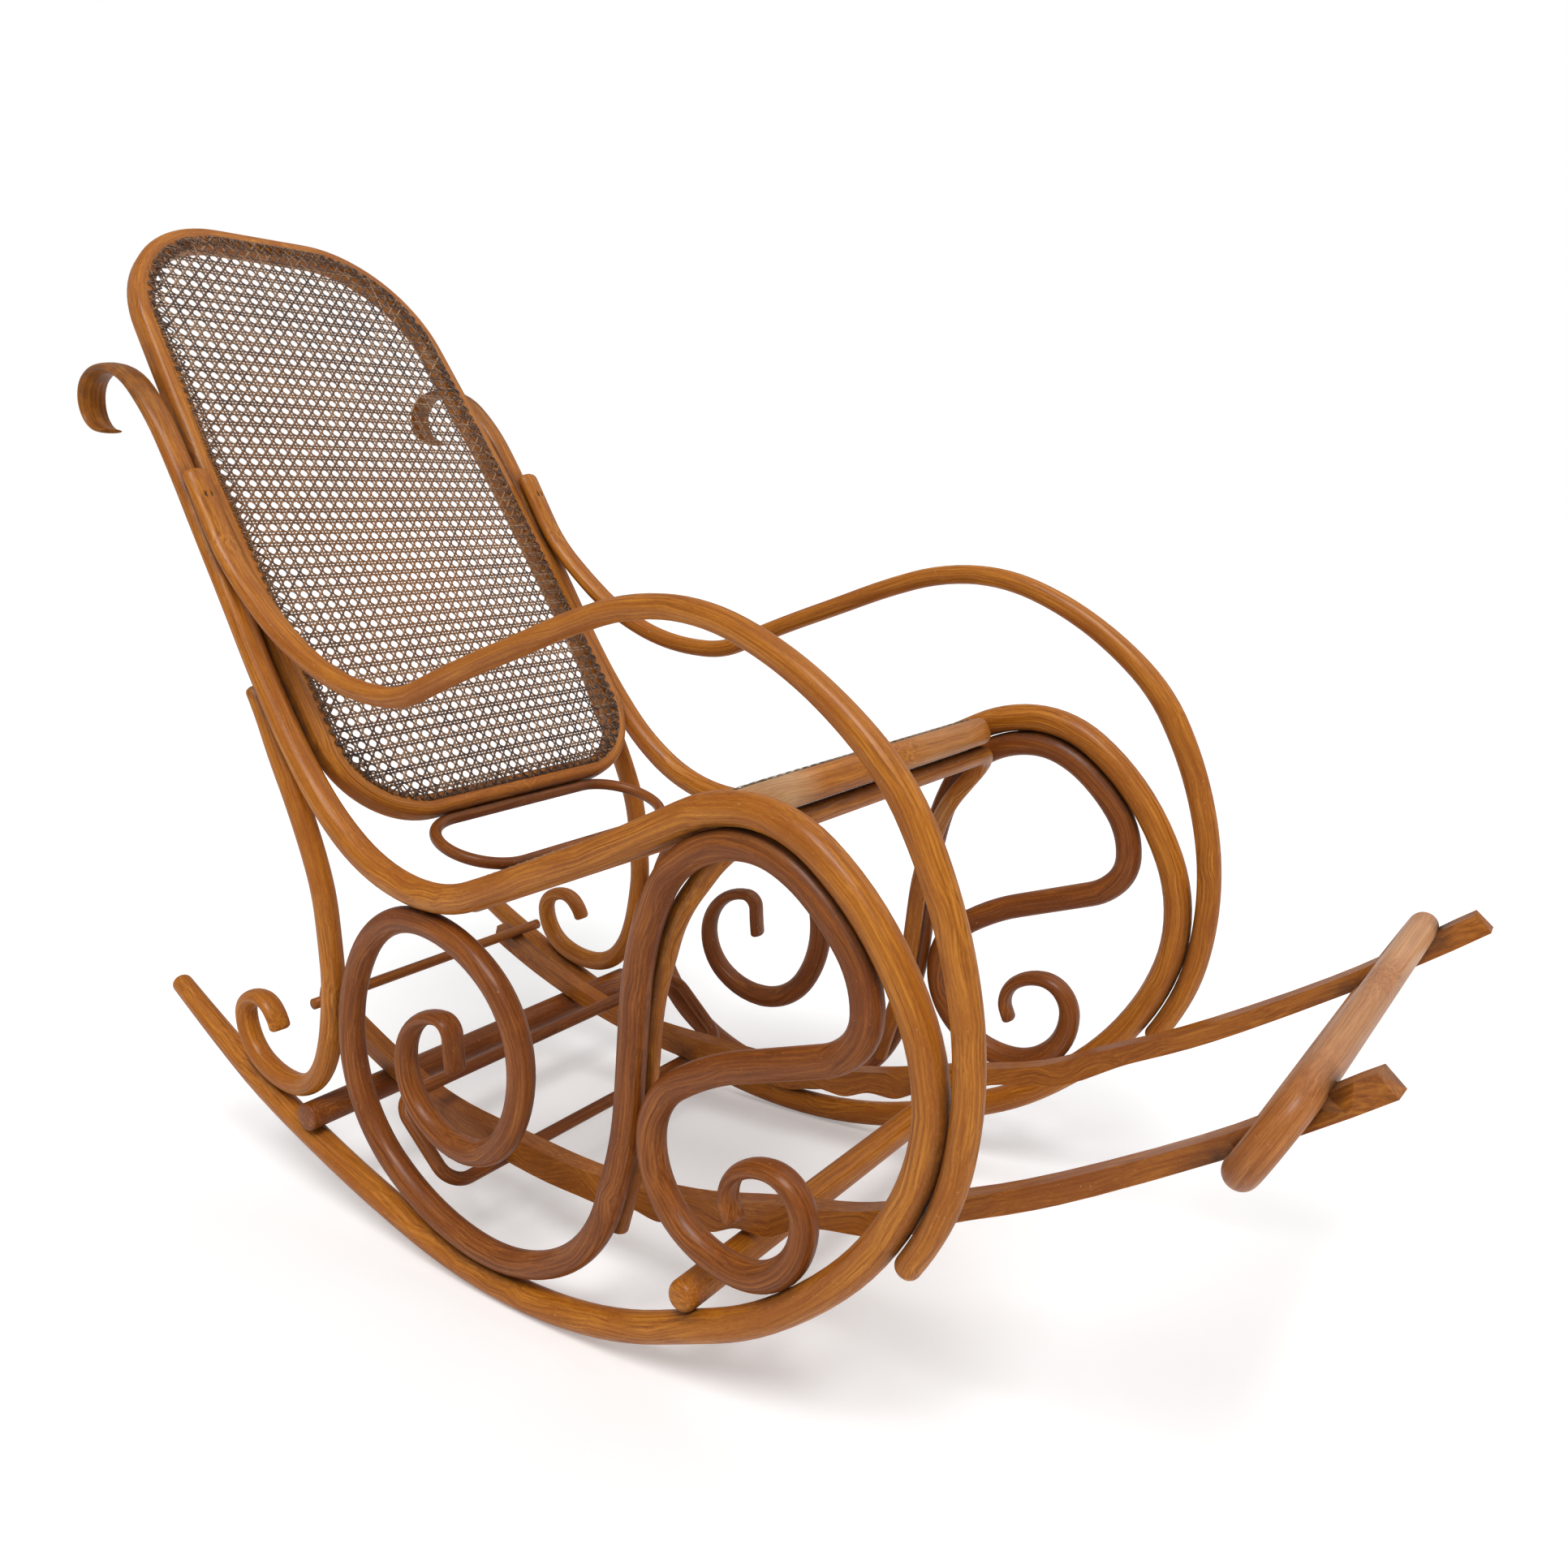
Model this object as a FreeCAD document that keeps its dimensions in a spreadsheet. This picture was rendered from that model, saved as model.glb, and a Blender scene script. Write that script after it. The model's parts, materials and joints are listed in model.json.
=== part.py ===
import FreeCAD, Part
import math
import os
from FreeCAD import Rotation, Vector

# Bentwood rocking chair with caned seat and back and a sliding footrest.
# Millimetres. X to the sitter's left, Y to the back, Z up. The side frames are
# drawn flat in their own planes and then stood up with a slight toe-in.

doc = FreeCAD.newDocument("RockingChair")

# Driving sizes
DIMENSIONS = {
    "rail_diameter": 28.0,
    "rail_end_diameter": 22.0,
    "arm_diameter": 26.0,
    "arm_slim_diameter": 20.0,
    "arm_end_diameter": 23.0,
    "leg_diameter": 24.0,
    "scroll_diameter": 26.0,
    "scroll_tip_thickness": 13.0,
    "scroll_tip_width": 24.0,
    "post_thickness": 20.0,
    "hook_thickness": 11.0,
    "hook_width": 32.0,
    "arm_foot_thickness": 18.0,
    "leg_top_thickness": 17.0,
    "side_half_width": 251.1,
    "toe_in_angle": 1.953,
    "back_lean_angle": 32.67,
    "back_frame_width": 24.0,
    "back_frame_depth": 26.0,
    "back_cane_margin": 13.0,
    "seat_rise_angle": 22.4,
    "seat_length": 408.0,
    "seat_frame_width": 30.0,
    "seat_frame_depth": 28.0,
    "seat_cane_margin": 14.0,
    "cane_thickness": 1.6,
    "bow_diameter": 19.0,
    "brace_ring_diameter": 12.5,
    "guide_ring_diameter": 14.0,
    "front_stretcher_diameter": 29.0,
    "rear_stretcher_diameter": 30.0,
    "front_stretcher_length": 530.0,
    "rear_stretcher_length": 502.0,
    "footrest_rail_spacing": 327.0,
    "footrest_splay_angle": 2.86,
    "footrest_rail_width": 20.0,
    "footrest_rail_height": 24.0,
    "footrest_tail_height": 19.0,
    "footrest_ring_diameter": 25.0,
    "footrest_ring_half_length": 228.0,
    "dowel_diameter": 12.5,
    "dowel_length": 348.0,
    "notch_pitch": 65.0,
    "notch_depth": 6.0,
    "screw_head_diameter": 8.0,
    "screw_head_height": 5.0,
    "screw_length": 30.0,
    "touch_gap": 0.15,
    "slide_gap": 0.5,
}

sizes = doc.addObject("Spreadsheet::Sheet", "Sizes")
for row, (alias, value) in enumerate(DIMENSIONS.items(), start=1):
    sizes.set("A%d" % row, alias.replace("_", " "))
    sizes.set("B%d" % row, str(value))
    sizes.setAlias("B%d" % row, alias)
doc.recompute()


def size(alias):
    return float(getattr(sizes, alias))


RAIL = size("rail_diameter")
ARM = size("arm_diameter")
SLIM = size("arm_slim_diameter")
LEG = size("leg_diameter")
SCROLL = size("scroll_diameter")
TOUCH = size("touch_gap")
SLIDE = size("slide_gap")
TOE_IN = size("toe_in_angle")
SIDE_HALF = size("side_half_width")

parts = {}
whole = {}


# Flat geometry of a side plane: points are (y, z), headings are degrees from +Y towards +Z

def direction(heading):
    angle = math.radians(heading)
    return (math.cos(angle), math.sin(angle))


def offset(point, heading, distance):
    """Point at a distance to the left of a heading."""
    along = direction(heading)
    return (point[0] - along[1] * distance, point[1] + along[0] * distance)


def biarc(start, start_heading, end, end_heading):
    """The joint of two tangent arcs that run from one knot to the next."""
    ta = direction(start_heading)
    tb = direction(end_heading)
    vy = end[0] - start[0]
    vz = end[1] - start[1]
    vt = vy * (ta[0] + tb[0]) + vz * (ta[1] + tb[1])
    spread = 2.0 * (1.0 - ta[0] * tb[0] - ta[1] * tb[1])
    if spread < 1e-9:
        reach = (vy * vy + vz * vz) / (2.0 * vt)
    else:
        reach = (math.sqrt(vt * vt + spread * (vy * vy + vz * vz)) - vt) / spread
    return ((start[0] + end[0] + reach * (ta[0] - tb[0])) / 2.0,
            (start[1] + end[1] + reach * (ta[1] - tb[1])) / 2.0)


def arc_point(start, heading, end, share):
    """Point and heading part of the way round the arc that leaves start along heading and ends at end."""
    along = direction(heading)
    dy = end[0] - start[0]
    dz = end[1] - start[1]
    half_turn = math.atan2(along[0] * dz - along[1] * dy, along[0] * dy + along[1] * dz)
    if abs(half_turn) < 1e-7:
        return (start[0] + dy * share, start[1] + dz * share), heading
    radius = math.hypot(dy, dz) / (2.0 * math.sin(half_turn))
    centre = offset(start, heading, radius)
    turned = heading + math.degrees(2.0 * half_turn) * share
    back = offset((0.0, 0.0), turned, -radius)
    return (centre[0] + back[0], centre[1] + back[1]), turned


class Knot:
    """A point of a rod's centre line, with the rod's thickness in the side plane and width across it."""

    def __init__(self, y, z, heading, thickness, width=None):
        self.point = (y, z)
        self.heading = heading
        self.thickness = thickness
        self.width = thickness if width is None else width

    def is_round_like(self, other):
        same = abs(self.thickness - other.thickness) < 1e-9
        return same and abs(self.width - other.width) < 1e-9 and abs(self.thickness - self.width) < 1e-9


def arcs_between(first, second):
    """The two arcs from one knot to the next, as start, heading at the start, end."""
    joint = biarc(first.point, first.heading, second.point, second.heading)
    at_joint = arc_point(first.point, first.heading, joint, 1.0)[1]
    return [(first.point, first.heading, joint), (joint, at_joint, second.point)]


def flat(point):
    return Vector(0.0, point[0], point[1])


def section_wire(point, heading, thickness, width):
    """Round or oval section across the rod at one point, its wider axis along X."""
    along = direction(heading)
    if abs(thickness - width) < 1e-6:
        outline = Part.Circle()
        outline.Radius = width / 2.0
    else:
        outline = Part.Ellipse()
        outline.MajorRadius = width / 2.0
        outline.MinorRadius = thickness / 2.0
    outline.Center = flat(point)
    outline.Axis = Vector(0.0, along[0], along[1])
    outline.XAxis = Vector(1, 0, 0)
    quarter = math.pi / 2.0
    return Part.Wire([outline.toShape(step * quarter, (step + 1) * quarter) for step in range(4)])


def round_stretch(knots):
    """A rod of one diameter along tangent arcs."""
    edges = []
    for first, second in zip(knots, knots[1:]):
        for start, heading, end in arcs_between(first, second):
            middle = arc_point(start, heading, end, 0.5)[0]
            edges.append(Part.Arc(flat(start), flat(middle), flat(end)).toShape())
    path = Part.Wire(edges)
    ring = section_wire(knots[0].point, knots[0].heading, knots[0].thickness, knots[0].width)
    return path.makePipeShell([ring], True, False)


STATION_SPACING = 12.0
STATION_TURN = 8.0
# Each step of a rounded end: its distance past the end in thicknesses, and the share of the section left
END_STEPS = ((0.12, 0.95), (0.22, 0.84), (0.30, 0.66))
# Where an oval stretch meets a round one it reaches into it a little, on a slightly smaller section
TUCK = 2.0
TUCK_SHARE = 0.99


def oval_stations(first, second, skip_first):
    """Sections along the two arcs between knots, closer together where the rod bends more."""
    arcs = arcs_between(first, second)
    lengths = [math.hypot(end[0] - start[0], end[1] - start[1]) for start, heading, end in arcs]
    stations = []
    done = 0.0
    for (start, heading, end), length in zip(arcs, lengths):
        turn = abs(arc_point(start, heading, end, 1.0)[1] - heading)
        count = max(int(turn / STATION_TURN), int(length / STATION_SPACING)) + 1
        for step in range(0 if not stations and not skip_first else 1, count + 1):
            share = step / count
            point, turned = arc_point(start, heading, end, share)
            along = (done + length * share) / sum(lengths)
            thickness = first.thickness + (second.thickness - first.thickness) * along
            width = first.width + (second.width - first.width) * along
            stations.append((point, turned, thickness, width))
        done += length
    return stations


def end_stations(station, way):
    """Sections that shrink past a rod's free end; way is 1 past the last knot, -1 before the first."""
    point, heading, thickness, width = station
    along = direction(heading)
    stations = []
    for reach, share in END_STEPS:
        past = (point[0] + along[0] * way * reach * thickness, point[1] + along[1] * way * reach * thickness)
        stations.append((past, heading, thickness * share, width * share))
    return stations


def tucked(station, way):
    """A section just past a join, inside the neighbouring stretch."""
    point, heading, thickness, width = station
    along = direction(heading)
    inside = (point[0] + along[0] * way * TUCK, point[1] + along[1] * way * TUCK)
    return inside, heading, thickness * TUCK_SHARE, width * TUCK_SHARE


def oval_stretch(knots, round_start, round_end):
    """A rod whose section changes along its length, lofted through oval sections."""
    stations = []
    for index in range(len(knots) - 1):
        stations += oval_stations(knots[index], knots[index + 1], index > 0)
    if round_start:
        stations = end_stations(stations[0], -1.0)[::-1] + stations
    else:
        stations = [tucked(stations[0], -1.0)] + stations
    if round_end:
        stations = stations + end_stations(stations[-1], 1.0)
    else:
        stations = stations + [tucked(stations[-1], 1.0)]
    return Part.makeLoft([section_wire(*station) for station in stations], True, True)


def rod(knots):
    """A whole bent rod with rounded ends, from its knots."""
    groups = []
    for index in range(len(knots) - 1):
        uniform = knots[index].is_round_like(knots[index + 1])
        if groups and groups[-1][0] == uniform:
            groups[-1][1].append(knots[index + 1])
        else:
            groups.append((uniform, [knots[index], knots[index + 1]]))
    solids = []
    for number, (uniform, members) in enumerate(groups):
        if uniform:
            solids.append(round_stretch(members))
        else:
            solids.append(oval_stretch(members, number == 0, number == len(groups) - 1))
    whole = solids[0]
    if len(solids) > 1:
        whole = solids[0].multiFuse(solids[1:])
    if len(whole.Solids) != 1:
        raise RuntimeError("a bent rod came out in %d pieces" % len(whole.Solids))
    return whole.Solids[0]


def stand_up(shape, side, sideways=0.0):
    """Places a shape drawn in the side plane on the right (-1) or the left (1), sideways towards the middle."""
    placed = shape.copy()
    base = Vector(side * (SIDE_HALF - sideways), 0, 0)
    placed.Placement = FreeCAD.Placement(base, Rotation(Vector(0, 0, 1), side * TOE_IN))
    return placed


def half_width_at(y):
    """Distance of a side plane from the middle of the chair."""
    return SIDE_HALF - math.tan(math.radians(TOE_IN)) * y


# Bends of the side frame. The rail is one rod: hook, post, seat rail, front hoop and rocker.

POST_THICK = size("post_thickness")
LOWEST_Y = 152.0

rail_knots = [
    Knot(733, 770, 0, 5.0, 26.0),
    Knot(765, 801, 90, 9.0, 30.0),
    Knot(722, 834, 180, size("hook_thickness"), size("hook_width")),
    Knot(619, 760, 237, POST_THICK, RAIL),
    Knot(541, 627, 239.6, POST_THICK, RAIL),
    Knot(463, 494, 237, 23.0, RAIL),
    Knot(362, 378, 216, RAIL),
    Knot(245, 340, 180, RAIL),
    Knot(130, 373, 158, RAIL),
    Knot(-10, 433, 155, RAIL),
    Knot(-130, 475, 180, RAIL),
    Knot(-248, 401, 234, RAIL),
    Knot(-292, 280, 270, RAIL),
    Knot(-263, 182, 300, RAIL),
    Knot(-150, 64, 325, RAIL),
    Knot(-30, 5, 337, RAIL),
    Knot(LOWEST_Y, -30.5, 360, RAIL),
    Knot(420, 24, 379, RAIL),
    Knot(560, 80, 386, RAIL),
    Knot(697, 154, 390, size("rail_end_diameter")),
]


def rail_at(y, z_near):
    """Point and heading of the rail's centre line nearest to a place."""
    best = None
    for first, second in zip(rail_knots, rail_knots[1:]):
        for start, heading, end in arcs_between(first, second):
            for step in range(41):
                point, turned = arc_point(start, heading, end, step / 40.0)
                gap = math.hypot(point[0] - y, point[1] - z_near)
                if best is None or gap < best[0]:
                    best = (gap, point, turned)
    return best[1], best[2]


def beside_rail(y, z_near, side, thickness, rail_thickness=RAIL, gap=TOUCH):
    """Centre of a rod that touches the rail near a place: side 1 is left of the rail's heading."""
    point, heading = rail_at(y, z_near)
    reach = (rail_thickness + thickness) / 2.0 + gap
    return offset(point, heading, side * reach), heading


ARM_FOOT = size("arm_foot_thickness")
arm_top, arm_top_heading = beside_rail(590, 712, -1, ARM_FOOT, POST_THICK, 0.4)
arm_low, arm_low_heading = beside_rail(560, 660, -1, ARM_FOOT, POST_THICK, 0.3)
ARM_END = size("arm_end_diameter")
arm_touch, arm_touch_heading = beside_rail(-285, 245, -1, ARM_END)

arm_foot, arm_foot_heading = beside_rail(-256, 168, -1, ARM_END)

arm_knots = [
    Knot(*arm_top, arm_top_heading, ARM_FOOT, RAIL),
    Knot(*arm_low, arm_low_heading, ARM_FOOT, RAIL),
    Knot(463, 584, 219, SLIM, RAIL),
    Knot(392, 542, 203, SLIM, SLIM + 3.0),
    Knot(290, 522, 180, SLIM, SLIM),
    Knot(200, 549, 159, SLIM, SLIM),
    Knot(80, 592, 160, SLIM, SLIM),
    Knot(-50, 621, 180, SLIM, SLIM),
    Knot(-193, 571, 214.5, 22.0, 22.0),
    Knot(-276, 485, 242, ARM - 1.0, ARM - 1.0),
    Knot(*arm_touch, arm_touch_heading, ARM_END),
    Knot(*arm_foot, arm_foot_heading, ARM_END - 2.0),
]

leg_top, leg_top_heading = beside_rail(478, 520, 1, size("leg_top_thickness"), 22.5, 0.3)
leg_foot, leg_foot_heading = beside_rail(545, 80, 1, LEG)
FOOT_CURL = 56.0
foot_curl_middle = offset(leg_foot, leg_foot_heading, FOOT_CURL)
leg_knots = [
    Knot(*leg_top, leg_top_heading, size("leg_top_thickness"), LEG),
    Knot(457, 431, 242, LEG),
    Knot(417, 340, 251, LEG),
    Knot(404, 240, 268, LEG),
    Knot(413, 170, 283, LEG),
    Knot(441, 110, 312, LEG),
    Knot(*leg_foot, leg_foot_heading, LEG),
    Knot(foot_curl_middle[0] + FOOT_CURL, foot_curl_middle[1], 450, 20.0, LEG),
    Knot(537, 174, 540, 16.0, LEG),
    Knot(507, 148, 612, 13.0, LEG),
]

loop_top, loop_top_heading = beside_rail(254, 340, 1, SCROLL)
loop_low, loop_low_heading = beside_rail(195, -30, 1, SCROLL)
arch_top = beside_rail(-130, 475, 1, SCROLL)[0]
arch_side, arch_side_heading = beside_rail(-205, 444, 1, SCROLL)
curl_touch, curl_touch_heading = beside_rail(-174, 87, 1, SCROLL)
CURL = 64.0
curl_middle = offset(curl_touch, curl_touch_heading, CURL)
TIP_THICK = size("scroll_tip_thickness")
TIP_WIDE = size("scroll_tip_width")
scroll_knots = [
    Knot(221, 176, 84, TIP_THICK, TIP_WIDE),
    Knot(238, 222, 0, TIP_THICK, TIP_WIDE),
    Knot(294, 165, -90, 18.0, TIP_WIDE + 1.0),
    Knot(215, 95, -180, SCROLL),
    Knot(130, 200, -270, SCROLL),
    Knot(*loop_top, loop_top_heading - 540, SCROLL),
    Knot(379, 165, -450, SCROLL),
    Knot(*loop_low, loop_low_heading - 900, SCROLL),
    Knot(26, 100, -610, SCROLL),
    Knot(-1, 200, -623, SCROLL),
    Knot(-12, 300, -623, SCROLL),
    Knot(-41, 396, -602, SCROLL),
    Knot(*arch_top, -540, SCROLL),
    Knot(*arch_side, arch_side_heading - 720, SCROLL),
    Knot(-238, 340, -450, SCROLL),
    Knot(-200, 294, -378, SCROLL),
    Knot(-120, 268, -378, SCROLL),
    Knot(-55, 235, -395, SCROLL),
    Knot(-26, 178, -450, SCROLL),
    Knot(curl_middle[0], curl_middle[1] - CURL, -540, SCROLL),
    Knot(*curl_touch, curl_touch_heading - 900, SCROLL),
    Knot(curl_middle[0] - CURL, curl_middle[1], -630, 22.0, SCROLL),
    Knot(-150, 190, -720, 16.0, TIP_WIDE + 1.0),
    Knot(-108, 155, -810, TIP_THICK, TIP_WIDE),
    Knot(-113, 138, -828, TIP_THICK, TIP_WIDE),
]

side_rods = {
    "side_rail": rod(rail_knots),
    "arm_rod": rod(arm_knots),
    "rear_leg": rod(leg_knots),
    "scroll": rod(scroll_knots),
}

# Routes in space: straight runs joined by tangent arcs

def rounded_path(points, radii, closed=False):
    """A wire through points whose corners are arcs of the given radii."""
    count = len(points)
    corners = range(count) if closed else range(1, count - 1)
    arcs = {}
    for index in corners:
        corner = points[index]
        before = points[(index - 1) % count] - corner
        after = points[(index + 1) % count] - corner
        before.normalize()
        after.normalize()
        half = before.getAngle(after) / 2.0
        reach = radii[index] / math.tan(half)
        bisector = before + after
        bisector.normalize()
        centre = corner + bisector * (radii[index] / math.sin(half))
        arcs[index] = (corner + before * reach, centre - bisector * radii[index], corner + after * reach)
    edges = []
    previous = None if closed else points[0]
    first = None
    for index in corners:
        start, middle, end = arcs[index]
        if previous is None:
            first = start
        elif previous.distanceToPoint(start) > 1e-4:
            edges.append(Part.LineSegment(previous, start).toShape())
        edges.append(Part.Arc(start, middle, end).toShape())
        previous = end
    last = first if closed else points[-1]
    if previous.distanceToPoint(last) > 1e-4:
        edges.append(Part.LineSegment(previous, last).toShape())
    return Part.Wire(edges)


def first_point(path):
    """Where a wire starts and the way it sets off."""
    edge = path.OrderedEdges[0]
    if edge.Orientation == "Reversed":
        return edge.valueAt(edge.LastParameter), edge.tangentAt(edge.LastParameter) * -1.0
    return edge.valueAt(edge.FirstParameter), edge.tangentAt(edge.FirstParameter)


def wire_rod(path, diameter):
    """A round rod along a wire."""
    start, tangent = first_point(path)
    ring = Part.Wire(Part.Circle(start, tangent, diameter / 2.0).toShape())
    return path.makePipeShell([ring], True, False)


def racetrack_line(middle, plane_direction, half_length, half_height):
    """A closed line: two runs along X joined by half turns, in the plane of X and a (y, z) direction."""
    up = Vector(0.0, plane_direction[0], plane_direction[1])
    up.normalize()
    centre = Vector(0.0, middle[0], middle[1])
    straight = half_length - half_height
    left = Vector(straight, 0, 0)
    high = up * half_height
    end = Vector(half_length, 0, 0)
    edges = [
        Part.LineSegment(centre - left + high, centre + left + high).toShape(),
        Part.Arc(centre + left + high, centre + end, centre + left - high).toShape(),
        Part.LineSegment(centre + left - high, centre - left - high).toShape(),
        Part.Arc(centre - left - high, centre - end, centre - left + high).toShape(),
    ]
    return Part.Wire(edges)


# Back: a wooden ring between the posts with cane on its front face

LEAN = math.radians(size("back_lean_angle"))
BACK_UP = Vector(0.0, math.sin(LEAN), math.cos(LEAN))
BACK_FRONT = Vector(0.0, -math.cos(LEAN), math.sin(LEAN))
BACK_MIDDLE = Vector(0.0, 553.7, 677.3)
BACK_TOP = 387.0
BACK_BOTTOM = -352.0
BACK_TOP_RADIUS = 146.0
BACK_WAIST = 60.0
BACK_TAPER = 0.065
BACK_BOTTOM_RADIUS = 105.0


def back_half_width(v):
    """Outer half width of the back ring: just inside the posts, and narrower above them."""
    level = min(v, BACK_WAIST)
    rear_y = BACK_MIDDLE.y + BACK_UP.y * level - BACK_FRONT.y * size("back_frame_depth")
    half = half_width_at(rear_y) - RAIL / 2.0 - TOUCH
    return half - BACK_TAPER * (v - level)


def barred_ring(path, face_normal, width, depth, edge_radius):
    """A ring of rounded rectangular section whose front lies in the path's plane."""
    start, tangent = first_point(path)
    across = tangent.cross(face_normal)
    middle = start - face_normal * (depth / 2.0)
    corners = [middle + across * (sa * width / 2.0) + face_normal * (sb * depth / 2.0)
               for sa, sb in ((-1, -1), (1, -1), (1, 1), (-1, 1))]
    profile = rounded_path(corners, [edge_radius] * 4, closed=True)
    return path.makePipeShell([profile], True, False)


def ring_and_panel(outer, face_normal, width, depth, margin, edge_radius):
    """A wooden ring with rounded edges and the thin cane panel on its face."""
    ring = barred_ring(outer.makeOffset2D(-width / 2.0), face_normal, width, depth, edge_radius)
    panel = Part.Face(outer.makeOffset2D(-margin)).extrude(face_normal * size("cane_thickness"))
    return ring, panel


def back_point(x, v):
    return BACK_MIDDLE + Vector(x, 0, 0) + BACK_UP * v


back_corners = [(-1, BACK_BOTTOM, BACK_BOTTOM_RADIUS), (1, BACK_BOTTOM, BACK_BOTTOM_RADIUS),
                (1, BACK_WAIST, 900.0), (1, BACK_TOP, BACK_TOP_RADIUS),
                (-1, BACK_TOP, BACK_TOP_RADIUS), (-1, BACK_WAIST, 900.0)]
back_outline = rounded_path([back_point(sign * back_half_width(v), v) for sign, v, radius in back_corners],
                            [radius for sign, v, radius in back_corners], closed=True)
back_frame, back_cane = ring_and_panel(back_outline, BACK_FRONT, size("back_frame_width"),
                                       size("back_frame_depth"), size("back_cane_margin"), 8.0)
parts["back_frame"] = back_frame
parts["back_cane"] = back_cane

# Seat: a deeper ring between the seat rails, rising to the front

RISE = math.radians(size("seat_rise_angle"))
SEAT_REAR = Vector(0.0, math.cos(RISE), -math.sin(RISE))
SEAT_UP = Vector(0.0, math.sin(RISE), math.cos(RISE))
SEAT_FRONT = Vector(0.0, -106.0, 485.0)
SEAT_DEPTH = size("seat_frame_depth")


def seat_half_width(s):
    return half_width_at(SEAT_FRONT.y + SEAT_REAR.y * s) - RAIL / 2.0 - TOUCH


def seat_point(x, s):
    return SEAT_FRONT + Vector(x, 0, 0) + SEAT_REAR * s


SEAT_LENGTH = size("seat_length")
seat_corners = [(-1, 0.0, 70.0), (1, 0.0, 70.0), (1, SEAT_LENGTH, 90.0), (-1, SEAT_LENGTH, 90.0)]
seat_outline = rounded_path([seat_point(sign * seat_half_width(s), s) for sign, s, radius in seat_corners],
                            [radius for sign, s, radius in seat_corners], closed=True)
seat_frame, seat_cane = ring_and_panel(seat_outline, SEAT_UP, size("seat_frame_width"), SEAT_DEPTH,
                                       size("seat_cane_margin"), 10.0)
parts["seat_frame"] = seat_frame
parts["seat_cane"] = seat_cane

# Pieces made of a round rod along a line, their sections bound to the sheet


def rod_along(name, path, diameter):
    line = doc.addObject("Part::Feature", name + "_line")
    line.Shape = path
    start, tangent = first_point(path)
    section = doc.addObject("Part::Circle", name + "_section")
    section.setExpression("Radius", "Sizes.%s / 2" % diameter)
    section.Placement = FreeCAD.Placement(start, Rotation(Vector(0, 0, 1), tangent))
    sweep = doc.addObject("Part::Sweep", name)
    sweep.Sections = [section]
    sweep.Spine = (line, ["Edge%d" % number for number in range(1, len(path.Edges) + 1)])
    sweep.Solid = True
    sweep.Frenet = False
    whole[name] = sweep


def cross_rod(name, diameter, length, place):
    """A straight round bar across the chair, centred on it."""
    bar = doc.addObject("Part::Cylinder", name)
    bar.setExpression("Radius", "Sizes.%s / 2" % diameter)
    bar.setExpression("Height", "Sizes.%s" % length)
    bar.Placement = FreeCAD.Placement(Vector(-size(length) / 2.0, place[0], place[1]),
                                      Rotation(Vector(0, 0, 1), Vector(1, 0, 0)))
    bar.setExpression("Placement.Base.x", "-Sizes.%s / 2" % length)
    return bar


def round_edges(name, base, radius, chosen):
    """The same solid with some of its edges rounded."""
    doc.recompute()
    rounded = doc.addObject("Part::Fillet", name)
    rounded.Base = base
    rounded.Edges = [(number, radius, radius) for number, edge in enumerate(base.Shape.Edges, start=1)
                     if chosen(edge)]
    return rounded


def is_rim(edge):
    return len(edge.Vertexes) == 1


# Ring of thin rod between the back and the seat

BRACE = size("brace_ring_diameter")
back_underside = back_point(0, BACK_BOTTOM) - BACK_FRONT * (size("back_frame_depth") / 2.0) \
    - BACK_UP * (BRACE / 2.0 + TOUCH)
seat_rear_edge = seat_point(0, SEAT_LENGTH - BRACE / 2.0 - 1.0) + SEAT_UP * (BRACE / 2.0 + TOUCH)
brace_span = back_underside - seat_rear_edge
brace_middle = (back_underside + seat_rear_edge) * 0.5
rod_along("back_ring", racetrack_line((brace_middle.y, brace_middle.z), (brace_span.y, brace_span.z), 152.0,
                                      brace_span.Length / 2.0), "brace_ring_diameter")

# Bow under the seat: a bar across and a leg down each side

BOW = size("bow_diameter")
bow_bar_y = -81.0
bow_s = (bow_bar_y - SEAT_FRONT.y) / SEAT_REAR.y
bow_bar = seat_point(0, bow_s) - SEAT_UP * (SEAT_DEPTH + BOW / 2.0 + TOUCH)
BOW_INSET = (SCROLL + BOW) / 2.0 + TOUCH


def bow_point(side, y, z):
    return Vector(side * (half_width_at(y) - BOW_INSET), y, z)


bow_side = [(36, 66), (2, 170), (-12, 290), (-40, 372)]
bow_points = [bow_point(-1, y, z) for y, z in bow_side]
bow_points += [bow_point(-1, bow_bar.y, bow_bar.z), bow_point(1, bow_bar.y, bow_bar.z)]
bow_points += [bow_point(1, y, z) for y, z in reversed(bow_side)]
bow_radii = [0, 420.0, 260.0, 150.0, 34.0, 34.0, 150.0, 260.0, 420.0, 0]
rod_along("seat_bow", rounded_path(bow_points, bow_radii), "bow_diameter")

# Stretchers on the rockers


FRONT_BAR = size("front_stretcher_diameter")
REAR_BAR = size("rear_stretcher_diameter")
front_bar_centre = beside_rail(-74, 20, 1, FRONT_BAR)[0]
rear_bar_centre = beside_rail(459, 40, 1, REAR_BAR)[0]
front_bar = cross_rod("front_bar", "front_stretcher_diameter", "front_stretcher_length", front_bar_centre)
rear_bar = cross_rod("rear_bar", "rear_stretcher_diameter", "rear_stretcher_length", rear_bar_centre)
whole["front_stretcher"] = round_edges("front_stretcher", front_bar, 9.0, is_rim)
whole["rear_stretcher"] = round_edges("rear_stretcher", rear_bar, 2.5, is_rim)

# Footrest: two notched rails that slide through the guide ring and over the front stretcher.
# The rails curve about the slide axis, so they pass both at a steady height.

SLIDE_AXIS = (165.0, 850.0)
RAIL_HIGH = size("footrest_rail_height")
NOTCH = size("notch_depth")
GUIDE = size("guide_ring_diameter")


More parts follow.
